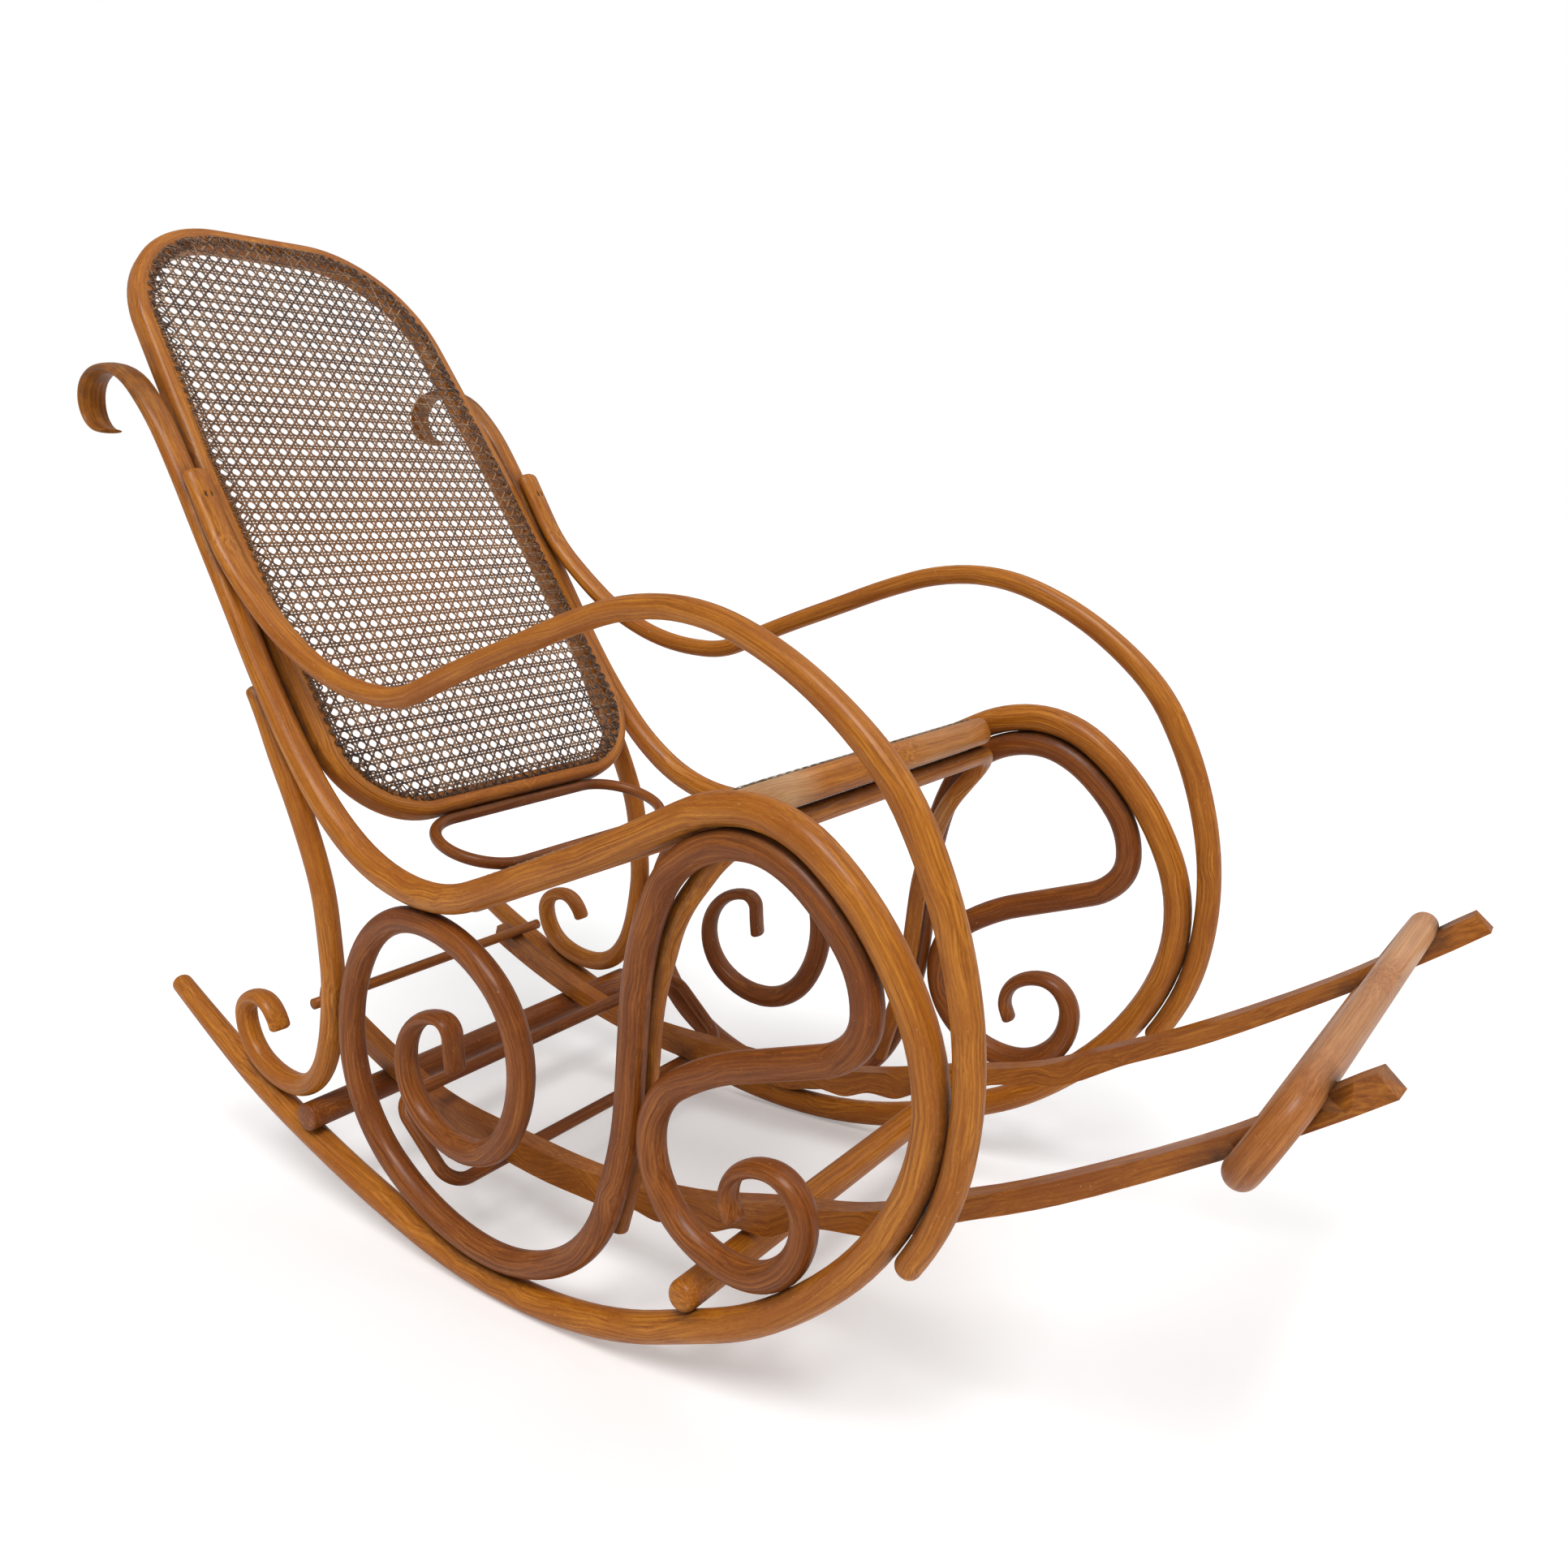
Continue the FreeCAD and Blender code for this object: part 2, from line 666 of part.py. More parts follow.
def from_axis(point):
    return math.hypot(point[0] - SLIDE_AXIS[0], point[1] - SLIDE_AXIS[1])


rail_low_radius = from_axis(front_bar_centre) - FRONT_BAR / 2.0 - SLIDE


def slide_point(angle, radius):
    """Point at an angle from straight below the slide axis, positive towards the back."""
    turn = math.radians(angle)
    return (SLIDE_AXIS[0] + radius * math.sin(turn), SLIDE_AXIS[1] - radius * math.cos(turn))


front_bar_angle = math.degrees(math.atan2(front_bar_centre[0] - SLIDE_AXIS[0], SLIDE_AXIS[1] - front_bar_centre[1]))
PITCH_ANGLE = math.degrees(size("notch_pitch") / rail_low_radius)
wave = []
for step in range(-1, 3):
    notch_angle = front_bar_angle + step * PITCH_ANGLE
    wave.append((notch_angle, rail_low_radius - NOTCH))
    wave.append((notch_angle + PITCH_ANGLE / 2.0, rail_low_radius))

top_radius = rail_low_radius - NOTCH - RAIL_HIGH
tail_top_radius = rail_low_radius - size("footrest_tail_height")
low_points = [slide_point(angle, radius) for angle, radius in wave]
level_low = [slide_point(angle, rail_low_radius) for angle in (-2.5, 1.0, 4.0, 7.0)]
tail_low = [slide_point(angle, rail_low_radius) for angle in (13.0, 17.0, 21.0, 25.0, 29.0)]
tail_top = [slide_point(angle, tail_top_radius) for angle in (29.3, 25.0, 20.0, 14.0)]
level_top = [slide_point(angle, top_radius) for angle in (5.0, -2.0, -8.0, -14.0, -19.0)]
tip_low = [(-581, 344), (-525, 303), (-470, 266), (-414, 230), (-358, 196), (-315, 173), (-272, 151), (-215, 118)]
tip_top = [(-200, 137), (-238, 156), (-305, 188), (-382, 230), (-459, 277), (-498, 304), (-541, 338), (-567, 357)]


def smooth(points):
    curve = Part.BSplineCurve()
    curve.interpolate([flat(point) for point in points])
    return curve.toShape()


low_line = tip_low + low_points + level_low + tail_low
top_line = tail_top + level_top + tip_top
outline = Part.Wire([smooth(low_line), Part.LineSegment(flat(low_line[-1]), flat(top_line[0])).toShape(),
                     smooth(top_line), Part.LineSegment(flat(top_line[-1]), flat(low_line[0])).toShape()])
RAIL_WIDE = size("footrest_rail_width")
RAIL_OUT = size("footrest_rail_spacing") / 2.0
SPLAY = size("footrest_splay_angle")

# Footrest ring: one bar over the rails and one under them, housed in shallow saddles

RING = size("footrest_ring_diameter")
ring_middle = (-508.0, 302.0)
ring_lean = 118.6
ring_half_height = 40.0
ring_line = racetrack_line(ring_middle, direction(ring_lean), size("footrest_ring_half_length"), ring_half_height)
rod_along("footrest_ring", ring_line, "footrest_ring_diameter")
ring_seat = doc.addObject("Part::Feature", "ring_seat")
ring_seat.Shape = wire_rod(ring_line, RING + 2.0 * TOUCH)

# Dowel that ties the rails' rear ends, lying across their tops

DOWEL = size("dowel_diameter")
dowel_place = slide_point(27.5, tail_top_radius - DOWEL / 2.0 - SLIDE)
whole["footrest_dowel"] = cross_rod("footrest_dowel", "dowel_diameter", "dowel_length", dowel_place)

rail_face = doc.addObject("Part::Feature", "footrest_rail_outline")
rail_face.Shape = Part.Face(outline)
for side, word in ((-1, "right"), (1, "left")):
    blank = doc.addObject("Part::Extrusion", "footrest_blank_" + word)
    blank.Base = rail_face
    blank.DirMode = "Custom"
    blank.Dir = Vector(1, 0, 0)
    blank.setExpression("LengthFwd", "Sizes.footrest_rail_width")
    blank.Solid = True
    turn = Rotation(Vector(0, 0, 1), side * SPLAY)
    base = Vector(side * RAIL_OUT, 0, 0) - turn.multVec(Vector(RAIL_WIDE / 2.0, 0, 0))
    blank.Placement = FreeCAD.Placement(base, turn)
    rail = doc.addObject("Part::Cut", "footrest_rail_" + word)
    rail.Base = blank
    rail.Tool = ring_seat
    whole[rail.Name] = rail

# Guide ring: carries the rails on its lower bar, between the two scrolls

lower_bar = slide_point(6.8, rail_low_radius + SLIDE + GUIDE / 2.0)
upper_bar = (338.0, 104.0)
guide_half = half_width_at(290.0) - (SCROLL + GUIDE) / 2.0 - TOUCH
guide_corners = [Vector(x, place[0], place[1]) for x, place in (
    (-guide_half, lower_bar), (guide_half, lower_bar), (guide_half, upper_bar), (-guide_half, upper_bar))]
rod_along("guide_ring", rounded_path(guide_corners, [24.0, 24.0, 24.0, 24.0], closed=True), "guide_ring_diameter")

# Screws that hold the arm's upper end to the post, two on each side

SCREW = size("screw_head_diameter")
for number, (y, z) in enumerate(((578, 690), (546, 634)), start=1):
    seat_on, heading = rail_at(y, z)
    front = offset(seat_on, heading, -(POST_THICK / 2.0 + ARM_FOOT + 0.3))
    inward = direction(heading + 90.0)
    head = Part.makeCylinder(SCREW / 2.0, size("screw_head_height"), flat(front), Vector(0, inward[0], inward[1]))
    shank = Part.makeCylinder(SCREW / 4.0, size("screw_length"), flat(front), Vector(0, inward[0], inward[1]))
    screw = head.fuse(shank).removeSplitter().Solids[0]
    for name in ("arm_rod", "side_rail"):
        side_rods[name] = side_rods[name].cut(screw).Solids[0]
    for side, word in ((-1, "right"), (1, "left")):
        parts["arm_screw_%d_%s" % (number, word)] = stand_up(screw, side)

for side, word in ((-1, "right"), (1, "left")):
    for name, shape in side_rods.items():
        parts["%s_%s" % (name, word)] = stand_up(shape, side)

for name, shape in parts.items():
    item = doc.addObject("Part::Feature", name)
    item.Shape = shape
    whole[name] = item
doc.recompute()

# The origin is on the floor, under the middle of the chair
overall = FreeCAD.BoundBox()
for item in whole.values():
    overall.add(item.Shape.optimalBoundingBox(False, False))
to_origin = FreeCAD.Placement(Vector(0, -(overall.YMin + overall.YMax) / 2.0, -overall.ZMin), Rotation())
for name, item in whole.items():
    item.Label = name
    item.Placement = to_origin.multiply(item.Placement)
doc.recompute()

for item in doc.Objects:
    if "Invalid" in item.State or "Error" in item.State:
        raise RuntimeError("failed: %s" % item.Label)
for name, item in whole.items():
    if item.Shape.isNull() or not item.Shape.isValid() or len(item.Shape.Solids) != 1:
        raise RuntimeError("bad shape: %s" % name)
os.makedirs("parts", exist_ok=True)
for name, item in whole.items():
    box = item.Shape.BoundBox
    print(name, len(item.Shape.Faces), round(item.Shape.Volume), "z %.2f to %.2f" % (box.ZMin, box.ZMax))
    item.Shape.exportStep("parts/%s.step" % name)
print("shift", [round(value, 3) for value in to_origin.Base])
print("slide axis", round(SLIDE_AXIS[0] + to_origin.Base.y, 3), round(SLIDE_AXIS[1] + to_origin.Base.z, 3))
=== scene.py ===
"""Bentwood rocking chair: stained bent wood, woven cane, dark screws, soft light and a pale floor."""
import heapq
import json
import math
import bmesh
import bpy
import numpy as np
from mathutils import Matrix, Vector
from mathutils.bvhtree import BVHTree


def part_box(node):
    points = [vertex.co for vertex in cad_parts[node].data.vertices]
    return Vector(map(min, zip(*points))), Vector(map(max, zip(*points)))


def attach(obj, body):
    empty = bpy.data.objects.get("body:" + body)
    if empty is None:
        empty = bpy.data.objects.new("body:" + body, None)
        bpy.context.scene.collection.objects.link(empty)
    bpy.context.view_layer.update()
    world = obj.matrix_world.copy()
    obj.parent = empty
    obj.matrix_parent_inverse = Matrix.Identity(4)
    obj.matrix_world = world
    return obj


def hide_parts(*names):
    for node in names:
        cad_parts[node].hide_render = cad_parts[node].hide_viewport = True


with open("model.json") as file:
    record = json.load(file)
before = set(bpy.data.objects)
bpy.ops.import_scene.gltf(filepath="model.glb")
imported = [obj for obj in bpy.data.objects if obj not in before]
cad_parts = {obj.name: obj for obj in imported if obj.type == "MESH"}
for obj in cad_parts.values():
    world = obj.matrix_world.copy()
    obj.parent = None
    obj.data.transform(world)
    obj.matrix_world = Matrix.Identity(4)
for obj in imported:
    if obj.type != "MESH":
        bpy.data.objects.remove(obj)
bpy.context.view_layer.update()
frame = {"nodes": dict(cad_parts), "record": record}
NODES = frame["nodes"]
RECORD = frame["record"]
BODY_OF = {node: body for body, members in RECORD["behaviour"]["bodies"].items() for node in members}
SLOT_OF = {row["node"]: row["material_slot"] for row in RECORD["subparts"]}

# Lengths are in metres and angles in degrees.

# Camera and lamps

CAMERA_PLACE = (-1.03565, -0.80033, 0.7475)
CAMERA_TURN = -55.44
CAMERA_DROP = 12.17
LENS = 30.75
SENSOR_WIDTH = 36.0
WORLD_LIGHT = 0.40


def show(name, data):
    """A new object in the scene."""
    item = bpy.data.objects.new(name, data)
    bpy.context.scene.collection.objects.link(item)
    return item


def sun(name, strength, spread, elevation, azimuth):
    """A wide, soft lamp far away; azimuth 0 shines from the front and 90 from the left of the sitter."""
    data = bpy.data.lights.new(name, "SUN")
    data.energy = strength
    data.angle = math.radians(spread)
    show(name, data).rotation_euler = (math.radians(90.0 - elevation), 0.0, math.radians(azimuth))


camera_data = bpy.data.cameras.new("camera")
camera_data.lens = LENS
camera_data.sensor_width = SENSOR_WIDTH
camera = show("camera", camera_data)
camera.location = CAMERA_PLACE
camera.rotation_euler = (math.radians(90.0 - CAMERA_DROP), 0.0, math.radians(CAMERA_TURN))
bpy.context.scene.camera = camera
bpy.context.scene.view_settings.view_transform = "Standard"
sun("key", 1.75, 24.0, 58.0, -60.0)
sun("fill", 0.55, 60.0, 50.0, 60.0)

# World: soft light on the chair, and white where the camera looks past it

world = bpy.data.worlds.new("studio")
bpy.context.scene.world = world
world.use_nodes = True
tree = world.node_tree
tree.nodes.clear()
world_path = tree.nodes.new("ShaderNodeLightPath")
choice = tree.nodes.new("ShaderNodeMixShader")
world_out = tree.nodes.new("ShaderNodeOutputWorld")
tree.links.new(world_path.outputs["Is Camera Ray"], choice.inputs[0])
for socket, strength in ((choice.inputs[1], WORLD_LIGHT), (choice.inputs[2], 1.0)):
    background = tree.nodes.new("ShaderNodeBackground")
    background.inputs["Color"].default_value = (1, 1, 1, 1)
    background.inputs["Strength"].default_value = strength
    tree.links.new(background.outputs[0], socket)
tree.links.new(choice.outputs[0], world_out.inputs[0])


# Materials

class Shader:
    """A node material under construction, with short calls for the nodes it uses."""

    def __init__(self, name):
        self.material = bpy.data.materials.new(name)
        self.material.use_nodes = True
        self.tree = self.material.node_tree
        self.tree.nodes.clear()
        self.out = self.add("ShaderNodeOutputMaterial")
        self.surface = self.add("ShaderNodeBsdfPrincipled")
        self.link(self.surface.outputs[0], self.out.inputs[0])

    def add(self, kind, **values):
        node = self.tree.nodes.new(kind)
        for key, value in values.items():
            setattr(node, key, value)
        return node

    def link(self, output, socket):
        self.tree.links.new(output, socket)

    def give(self, socket, value):
        """Feed a socket from another node's output, or with a plain value."""
        if hasattr(value, "is_output"):
            self.link(value, socket)
        else:
            socket.default_value = value

    def attribute(self, name, output):
        """A value stored on the points of the mesh."""
        return self.add("ShaderNodeAttribute", attribute_name=name).outputs[output]

    def place(self):
        """The point's place on the object."""
        return self.add("ShaderNodeTexCoord").outputs["Object"]

    def noise(self, vector, scales, detail=4.0, roughness=0.6, distortion=0.0):
        """Noise with its own scale along each axis."""
        stretch = self.add("ShaderNodeVectorMath", operation="MULTIPLY")
        self.link(vector, stretch.inputs[0])
        stretch.inputs[1].default_value = scales
        node = self.add("ShaderNodeTexNoise")
        node.inputs["Scale"].default_value = 1.0
        node.inputs["Detail"].default_value = detail
        node.inputs["Roughness"].default_value = roughness
        node.inputs["Distortion"].default_value = distortion
        self.link(stretch.outputs[0], node.inputs["Vector"])
        return node.outputs["Fac"]

    def ramp(self, factor, stops):
        """Colours at given positions, blended between them."""
        node = self.add("ShaderNodeValToRGB")
        elements = node.color_ramp.elements
        while len(elements) < len(stops):
            elements.new(0.5)
        for element, (position, colour) in zip(elements, stops):
            element.position = position
            element.color = (*colour, 1.0)
        self.link(factor, node.inputs[0])
        return node.outputs[0]

    def span(self, value, low, high, to_low=0.0, to_high=1.0):
        """A value between low and high, mapped to a new span and held at its ends."""
        node = self.add("ShaderNodeMapRange", clamp=True)
        self.link(value, node.inputs[0])
        for index, number in enumerate((low, high, to_low, to_high), start=1):
            node.inputs[index].default_value = number
        return node.outputs[0]

    def maths(self, operation, a, b):
        node = self.add("ShaderNodeMath", operation=operation)
        self.give(node.inputs[0], a)
        self.give(node.inputs[1], b)
        return node.outputs[0]

    def mix(self, factor, below, above):
        """One colour laid over another."""
        node = self.add("ShaderNodeMix", data_type="RGBA", blend_type="MIX")
        self.give(node.inputs[0], factor)
        self.give(node.inputs[6], below)
        self.give(node.inputs[7], above if hasattr(above, "is_output") else (*above, 1.0))
        return node.outputs[2]

    def bump(self, height, strength, distance):
        node = self.add("ShaderNodeBump")
        node.inputs["Strength"].default_value = strength
        node.inputs["Distance"].default_value = distance
        self.link(height, node.inputs["Height"])
        self.link(node.outputs[0], self.surface.inputs["Normal"])


COAT = 0.18
COAT_ROUGHNESS = 0.22
SPECULAR = 0.22
# Colour laid on near other pieces: dirt and painted shade where the pieces meet.
DIRT_AND_SHADE_COLOUR = (0.045, 0.022, 0.012)


def wood(name, dark, middle, light, pale, mottle):
    """Stained beech: streaks and flecks along the rod, blotches, rubbed spots, and dirt with painted shade
    near other pieces.
    """
    s = Shader(name)
    grain = s.attribute("grain", "Vector")
    dirt_and_shade = s.attribute("dirt_and_shade", "Fac")
    wear = s.attribute("wear", "Fac")
    streak = s.noise(grain, (8.0, 520.0, 520.0), 5.0, 0.60, 0.1)
    blotch = s.noise(grain, (11.0, 42.0, 42.0), 3.0, 0.55)
    fleck = s.noise(grain, (190.0, 1500.0, 1500.0), 2.0, 0.5)
    speck = s.noise(s.place(), (230.0, 230.0, 230.0), 3.0, 0.7)
    colour = s.ramp(streak, [(0.30, dark), (0.50, middle), (0.70, light)])
    colour = s.mix(s.span(blotch, 0.42, 0.68, 0.0, 0.75), colour, mottle)
    colour = s.mix(s.span(fleck, 0.56, 0.70, 0.0, 0.42), colour, dark)
    colour = s.mix(s.span(fleck, 0.30, 0.42, 0.30, 0.0), colour, light)
    rubbed = s.maths("MULTIPLY", s.span(speck, 0.66, 0.74, 0.0, 0.75), s.span(blotch, 0.45, 0.60))
    colour = s.mix(rubbed, colour, pale)
    worn = s.maths("MULTIPLY", wear, s.span(streak, 0.30, 0.62, 0.55, 1.0))
    colour = s.mix(worn, colour, pale)
    # Near other pieces the wood is darkened in patches: dirt and painted shade between the parts.
    patches = s.span(s.noise(s.place(), (60.0, 60.0, 60.0), 4.0), 0.30, 0.62, 0.45, 1.0)
    dirt_and_shade_mask = s.maths("MULTIPLY", dirt_and_shade, patches)
    colour = s.mix(dirt_and_shade_mask, colour, DIRT_AND_SHADE_COLOUR)
    s.link(colour, s.surface.inputs["Base Color"])
    shine = s.maths("ADD", s.span(blotch, 0.30, 0.70, 0.36, 0.54), s.maths("MULTIPLY", dirt_and_shade_mask, 0.25))
    s.link(shine, s.surface.inputs["Roughness"])
    s.surface.inputs["Coat Weight"].default_value = COAT
    s.surface.inputs["Coat Roughness"].default_value = COAT_ROUGHNESS
    s.surface.inputs["Specular IOR Level"].default_value = SPECULAR
    s.bump(s.maths("ADD", streak, s.maths("MULTIPLY", fleck, 0.5)), 0.35, 0.0004)
    return s.material


# Colours of each wood: dark, middle and light streaks, rubbed places, blotches
WOOD_COLOURS = {
    "honey_beech": ((0.230, 0.060, 0.004), (0.450, 0.145, 0.010), (0.640, 0.250, 0.030),
                    (0.620, 0.360, 0.170), (0.330, 0.088, 0.006)),
    "dark_beech": ((0.120, 0.030, 0.004), (0.250, 0.068, 0.008), (0.400, 0.130, 0.022),
                   (0.520, 0.250, 0.090), (0.165, 0.038, 0.005)),
    "footrest_beech": ((0.190, 0.048, 0.004), (0.360, 0.108, 0.008), (0.520, 0.190, 0.022),
                       (0.620, 0.360, 0.170), (0.270, 0.070, 0.005)),
    "pale_beech": ((0.220, 0.062, 0.010), (0.400, 0.130, 0.024), (0.560, 0.215, 0.055),
                   (0.700, 0.380, 0.190), (0.290, 0.080, 0.012)),
}
WOODS = {slot: wood(slot + "_wood", *colours) for slot, colours in WOOD_COLOURS.items()}


def cane_material(name, dark, middle, light, warm, warm_at):
    """Aged cane: glossy skin, strands that differ in colour, warmer round the place where it was rubbed."""
    s = Shader(name)
    place = s.place()
    tone = s.attribute("tone", "Fac")
    fine = s.noise(place, (420.0, 420.0, 420.0), 3.0, 0.65)
    broad = s.noise(place, (9.0, 9.0, 9.0), 3.0, 0.5)
    value = s.maths("ADD", s.maths("MULTIPLY", tone, 0.55), s.maths("MULTIPLY", fine, 0.5))
    colour = s.ramp(value, [(0.22, dark), (0.48, middle), (0.80, light)])
    away = s.add("ShaderNodeVectorMath", operation="DISTANCE")
    s.link(place, away.inputs[0])
    away.inputs[1].default_value = warm_at
    nearness = s.span(away.outputs["Value"], 0.06, 0.30, 0.85, 0.0)
    rubbed = s.maths("MULTIPLY", nearness, s.span(broad, 0.35, 0.60, 0.4, 1.0))
    s.link(s.mix(rubbed, colour, warm), s.surface.inputs["Base Color"])
    s.link(s.span(fine, 0.3, 0.7, 0.38, 0.60), s.surface.inputs["Roughness"])
    s.bump(fine, 0.30, 0.0002)
    return s.material


def screw_material():
    """Steel gone dark."""
    s = Shader("dark_steel")
    tarnish = s.noise(s.place(), (700.0, 700.0, 700.0), 4.0)
    colour = s.ramp(tarnish, [(0.35, (0.020, 0.014, 0.011)), (0.65, (0.085, 0.062, 0.048))])
    s.link(colour, s.surface.inputs["Base Color"])
    s.link(s.span(tarnish, 0.3, 0.7, 0.35, 0.6), s.surface.inputs["Roughness"])
    s.surface.inputs["Metallic"].default_value = 0.8
    s.bump(tarnish, 0.3, 0.0002)
    return s.material


FLOOR_COLOUR = 0.90
FLOOR_LIFT = 0.26


def floor_material():
    """Matt and pale, and a little brighter to the camera, so that it meets the white background."""
    s = Shader("pale_floor")
    s.surface.inputs["Base Color"].default_value = (FLOOR_COLOUR, FLOOR_COLOUR, FLOOR_COLOUR, 1.0)
    s.surface.inputs["Roughness"].default_value = 1.0
    s.surface.inputs["Specular IOR Level"].default_value = 0.0
    lift = s.add("ShaderNodeEmission")
    lift.inputs["Color"].default_value = (1, 1, 1, 1)
    seen = s.add("ShaderNodeLightPath").outputs["Is Camera Ray"]
    s.link(s.maths("MULTIPLY", seen, FLOOR_LIFT), lift.inputs["Strength"])
    both = s.add("ShaderNodeAddShader")
    s.link(s.surface.outputs[0], both.inputs[0])
    s.link(lift.outputs[0], both.inputs[1])
    s.link(both.outputs[0], s.out.inputs[0])
    return s.material


# Wooden pieces, whose grain follows each rod

MERGE = 1e-6            # corners nearer than this become one
SLICE = 0.012           # length of the slices of a ring or a cross bar
SLICE_TOLERANCE = 1e-7
BIN = 0.010             # step along a rod's centre line
SHARP_ANGLE = 38.0
DIRT_AND_SHADE_REACH = 0.013     # dirt and painted shade start this near another piece
DIRT_AND_SHADE_FALL = 1.4
SPOT_SLOPE = 1.6        # how steeply a spot fades from its full middle to its edge
MIDDLE_PULL = 50.0      # keeps the start of a ring on the middle plane
GRAIN_SHIFT = (3.7, 0.31, 0.0)  # moves the pattern from one piece to the next
LOOPS = ("back_frame", "seat_frame", "back_ring", "guide_ring", "footrest_ring")
CROSS_PIECES = LOOPS + ("front_stretcher", "rear_stretcher", "footrest_dowel", "seat_bow")

# Rubbed places: piece, centre, radius, strength
RUBBED = [
    ("seat_frame", (-0.190, -0.205, 0.522), 0.070, 0.95),
    ("seat_frame", (0.100, -0.200, 0.528), 0.100, 0.30),
    ("seat_bow", (0.215, -0.105, 0.420), 0.050, 0.90),
    ("footrest_ring", (0.120, -0.620, 0.372), 0.130, 0.80),
    ("footrest_ring", (-0.080, -0.620, 0.372), 0.160, 0.45),
]

# Places where the stain has turned dark: piece, centre, radius, strength
DARKENED = [
    ("side_rail_right", (-0.225, 0.600, 0.850), 0.110, 0.60),
    ("side_rail_left", (0.225, 0.600, 0.850), 0.110, 0.60),
]

trees = {}
boxes = {}
for name, node in NODES.items():
    points = [v.co.copy() for v in node.data.vertices]
    faces = [tuple(p.vertices) for p in node.data.polygons]
    trees[name] = BVHTree.FromPolygons(points, faces)
    boxes[name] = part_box(name)


def spread(graph, lengths, start):
    """Distance over the surface from one vertex to every other."""
    distance = [math.inf] * len(graph)
    distance[start] = 0.0
    queue = [(0.0, start)]
    while queue:
        reached, here = heapq.heappop(queue)
        if reached > distance[here]:
            continue
        for there, length in zip(graph[here], lengths[here]):
            if reached + length < distance[there]:
                distance[there] = reached + length
                heapq.heappush(queue, (reached + length, there))
    return np.array(distance)


def centre_line(points, along, side):
    """For each vertex, the middle of the rod beside it and the rod's direction there."""
    middles = np.zeros_like(points)
    heads = np.zeros_like(points)
    for branch in np.unique(side):
        chosen = side == branch
        bins = np.floor(along[chosen] / BIN).astype(int)
        total = bins.max() + 1
        count = np.bincount(bins, minlength=total)
        filled = np.nonzero(count)[0]
        sums = [np.bincount(bins, weights=points[chosen][:, k], minlength=total) for k in range(3)]
        line = np.stack(sums, axis=1)[filled] / count[filled][:, None]
        if len(line) > 4:
            padded = np.concatenate([line[:1], line, line[-1:]])
            line = (padded[:-2] + padded[1:-1] + padded[2:]) / 3.0
        head = np.gradient(line, axis=0) if len(line) > 1 else np.tile((1.0, 0.0, 0.0), (len(line), 1))
        where = (filled + 0.5) * BIN
        for k in range(3):
            middles[chosen, k] = np.interp(along[chosen], where, line[:, k])
            heads[chosen, k] = np.interp(along[chosen], where, head[:, k])
    heads /= np.maximum(np.linalg.norm(heads, axis=1), 1e-9)[:, None]
    return middles, heads


def grain_at(name, number, bm, points):
    """For each vertex, how far along its rod it lies, and how far to either side of the rod's middle."""
    graph = [[e.other_vert(v).index for e in v.link_edges] for v in bm.verts]
    lengths = [[e.calc_length() for e in v.link_edges] for v in bm.verts]
    if name in LOOPS:
        start = int(np.argmax(points[:, 2] - MIDDLE_PULL * np.abs(points[:, 0])))
        side = points[:, 0] > 0.0
    else:
        start = int(np.argmax(spread(graph, lengths, 0)))
        side = np.zeros(len(points), bool)
    along = spread(graph, lengths, start)
    along[~np.isfinite(along)] = 0.0
    middles, heads = centre_line(points, along, side)
    flat = np.linalg.svd(middles - middles.mean(axis=0), full_matrices=False)[2][2]
    across = np.cross(heads, flat)
    away = points - middles
    grain = np.stack([along, away @ flat, np.sum(away * across, axis=1)], axis=1)
    return grain + number * np.array(GRAIN_SHIFT)


def dirt_and_shade_at(name, points):
    """How near each vertex lies to another piece, from 0 to 1: where dirt and painted shade darken the wood.
    """
    low, high = boxes[name]
    near = [other for other, (a, b) in boxes.items() if other != name and SLOT_OF[other] in WOODS
            and all(a[k] - DIRT_AND_SHADE_REACH < high[k] and b[k] + DIRT_AND_SHADE_REACH > low[k] for k in range(3))]
    result = np.zeros(len(points))
    for index, point in enumerate(points):
        here = Vector(point)
        best = DIRT_AND_SHADE_REACH
        for other in near:
            a, b = boxes[other]
            if any(here[k] < a[k] - best or here[k] > b[k] + best for k in range(3)):
                continue
            hit = trees[other].find_nearest(here, best)
            if hit[3] is not None and hit[3] < best:
                best = hit[3]
        result[index] = (1.0 - best / DIRT_AND_SHADE_REACH) ** DIRT_AND_SHADE_FALL
    return result


def spots(name, points, places):
    """How strongly each vertex lies in one of a piece's listed places."""
    strongest = np.zeros(len(points))
    for piece, place, radius, strength in places:
        if piece == name:
            distance = np.linalg.norm(points - np.array(place), axis=1)
            fade = np.clip(SPOT_SLOPE - SPOT_SLOPE * distance / radius, 0.0, 1.0)
            strongest = np.maximum(strongest, strength * fade)
    return strongest


def give_attribute(mesh, name, kind, values):
    """Store one value or vector on each point of a mesh."""
    attribute = mesh.attributes.new(name, kind, "POINT")
    field = "vector" if kind == "FLOAT_VECTOR" else "value"
    attribute.data.foreach_set(field, np.asarray(values, np.float32).ravel())


def dress(node, name, mesh, material):
    """Show a mesh in place of a node, on the node's body, with the given material."""
    mesh.materials.append(material)
    piece = show(name, mesh)
    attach(piece, BODY_OF[node])
    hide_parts(node)


def skin(name):
    """A node's own surface joined into one mesh; rings and cross bars are also cut into short slices."""
    bm = bmesh.new()
    bm.from_mesh(NODES[name].data)
    bmesh.ops.remove_doubles(bm, verts=bm.verts, dist=MERGE)
    if name in CROSS_PIECES:
        low, high = boxes[name]
        steps = int((high.x - low.x) / SLICE)
        for step in range(1, steps):
            x = low.x + (high.x - low.x) * step / steps
            bmesh.ops.bisect_plane(bm, geom=bm.verts[:] + bm.edges[:] + bm.faces[:],
                                   dist=SLICE_TOLERANCE, plane_co=(x, 0, 0), plane_no=(1, 0, 0))
    bm.verts.ensure_lookup_table()
    return bm


